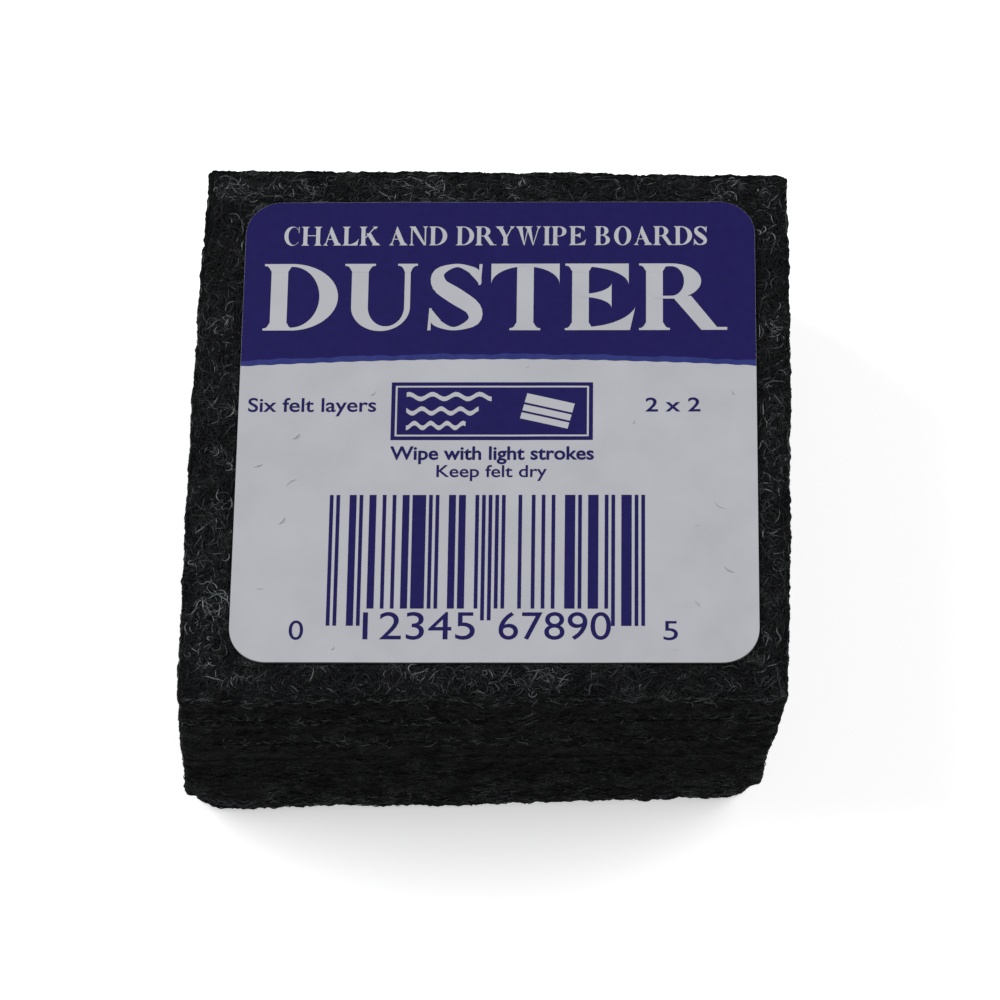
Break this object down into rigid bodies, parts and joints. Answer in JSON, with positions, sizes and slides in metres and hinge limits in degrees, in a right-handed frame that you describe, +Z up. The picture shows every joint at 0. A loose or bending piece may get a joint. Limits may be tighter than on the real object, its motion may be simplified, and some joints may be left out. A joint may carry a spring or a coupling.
{
  "type": "chalkboard eraser",
  "caption": "Small square hand eraser for chalk and marker boards: a knife-cut block of laminated charcoal felt with a paper label on top.",
  "frame": {"origin": "centre of the bounding box at the level of the wiping face, on which the eraser stands", "axes": "+Z up through the plies from the wiping face to the label, +X to the right and +Y to the top edge of the label as it is read"},
  "size_m": [0.053, 0.0522, 0.0211],
  "materials": {
    "printed_paper": "satin",
    "label_adhesive": "gloss",
    "pressed_felt": "matte",
    "felt_glue": "satin"
  },
  "bodies": {
    "root": {"label_face": "printed_paper", "label_adhesive": "label_adhesive", "felt_ply_1": "pressed_felt", "felt_ply_2": "pressed_felt", "felt_ply_3": "pressed_felt", "felt_ply_4": "pressed_felt", "felt_ply_5": "pressed_felt", "felt_ply_6": "pressed_felt", "glue_film_1": "felt_glue", "glue_film_2": "felt_glue", "glue_film_3": "felt_glue", "glue_film_4": "felt_glue", "glue_film_5": "felt_glue"}
  },
  "joints": []
}
